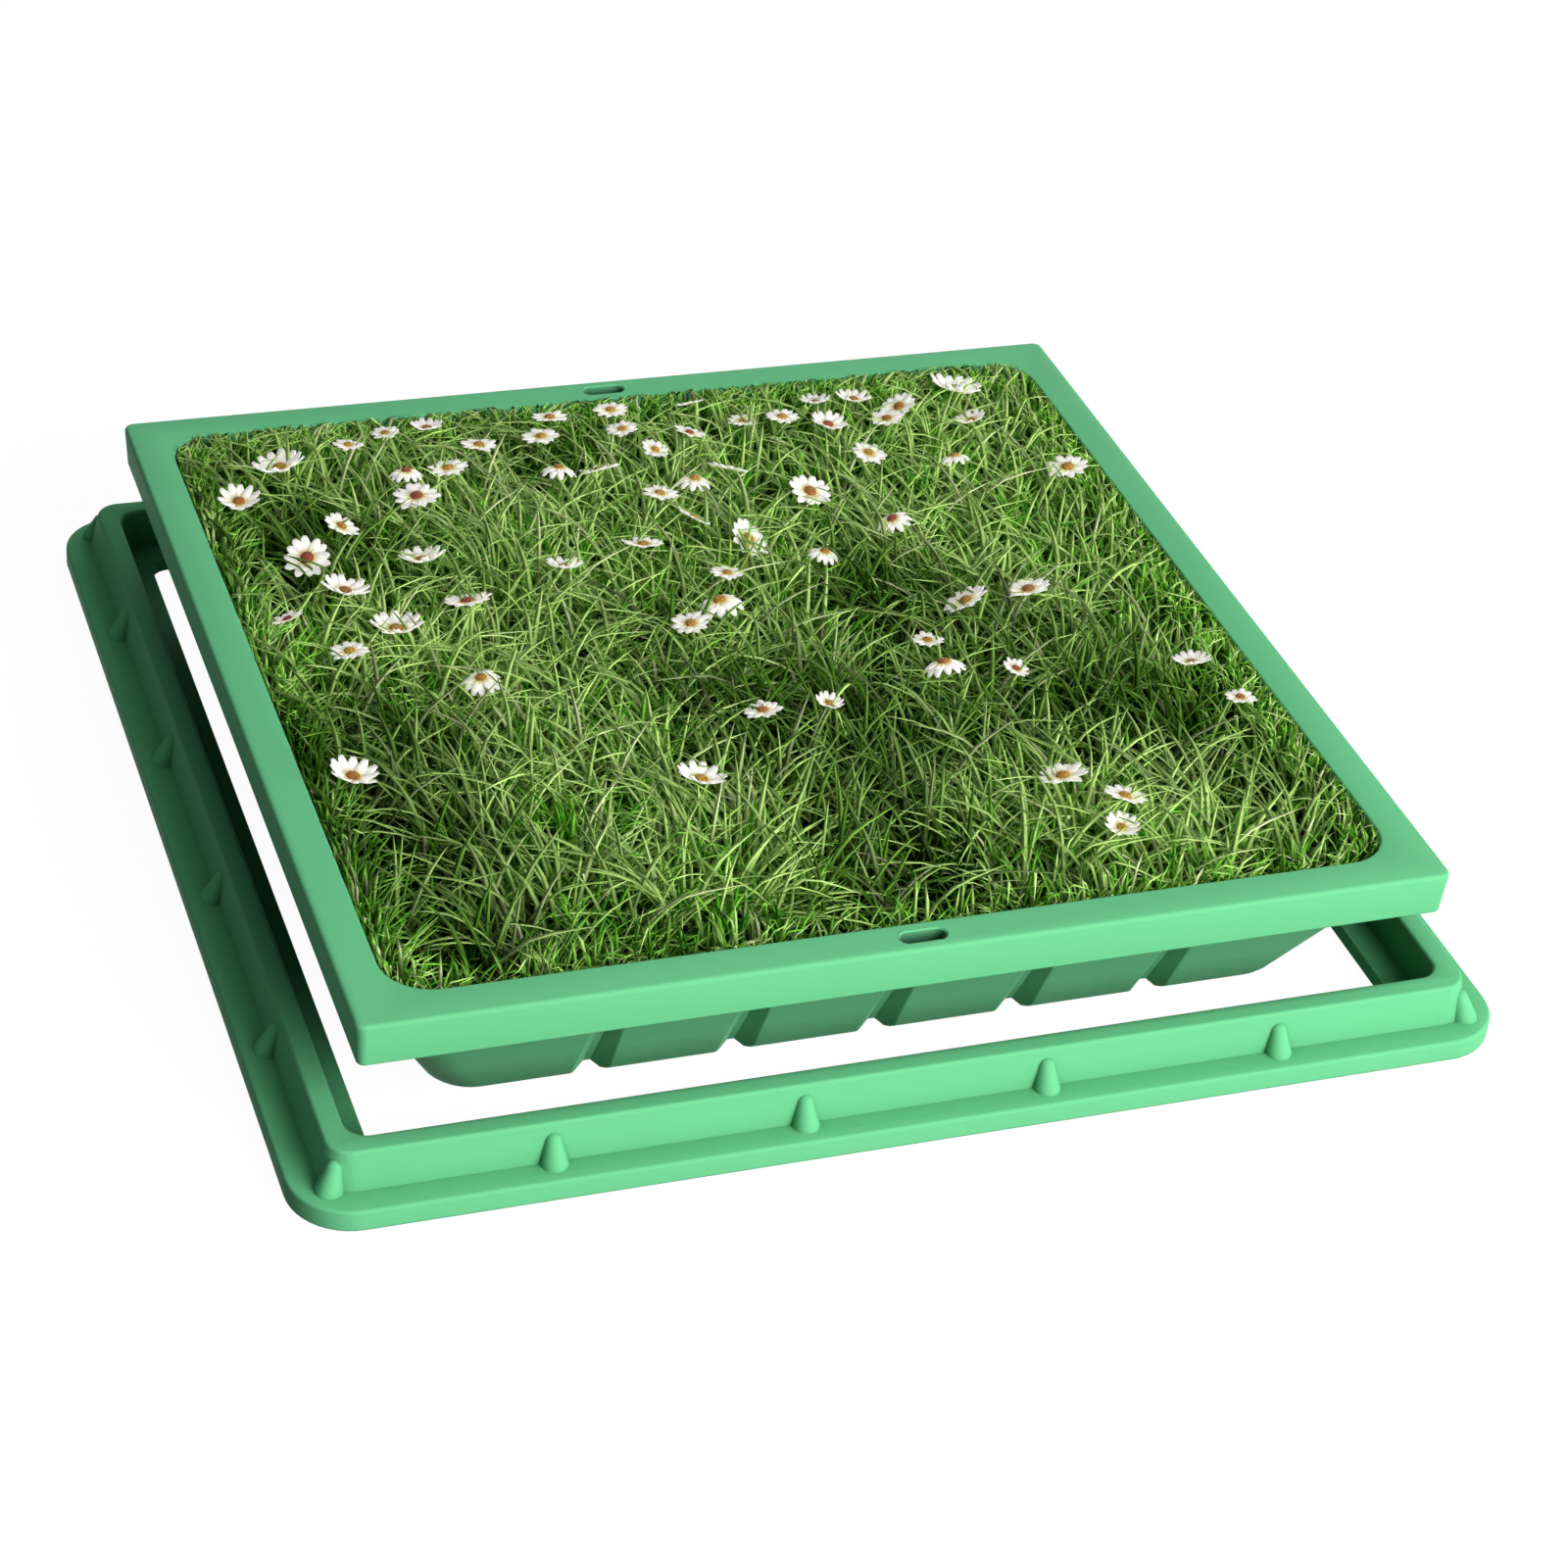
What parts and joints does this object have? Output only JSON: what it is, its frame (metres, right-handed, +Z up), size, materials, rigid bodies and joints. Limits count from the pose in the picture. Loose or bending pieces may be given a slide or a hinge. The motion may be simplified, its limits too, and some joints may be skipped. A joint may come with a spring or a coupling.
{
  "type": "septic tank cover",
  "caption": "Square moulded septic tank cover: a deep lid with lifting slots, planted with turf and daisies, standing inside its flanged and buttressed frame.",
  "frame": {"origin": "on the ground, in the middle of the frame and of the lid", "axes": "+Z up, +X along the front towards the right, +Y from the front towards the back"},
  "size_m": [0.671, 0.671, 0.1],
  "materials": {
    "moulded_green": "satin moulded green resin",
    "soil": "moist crumbly soil",
    "turf": "grass blades, light tips over dark hollows",
    "daisies": "white petals with yellow centres"
  },
  "bodies": {
    "root": {"frame": "moulded_green", "lid": "moulded_green", "soil": "soil", "turf": "turf", "daisies": "daisies"}
  },
  "joints": []
}
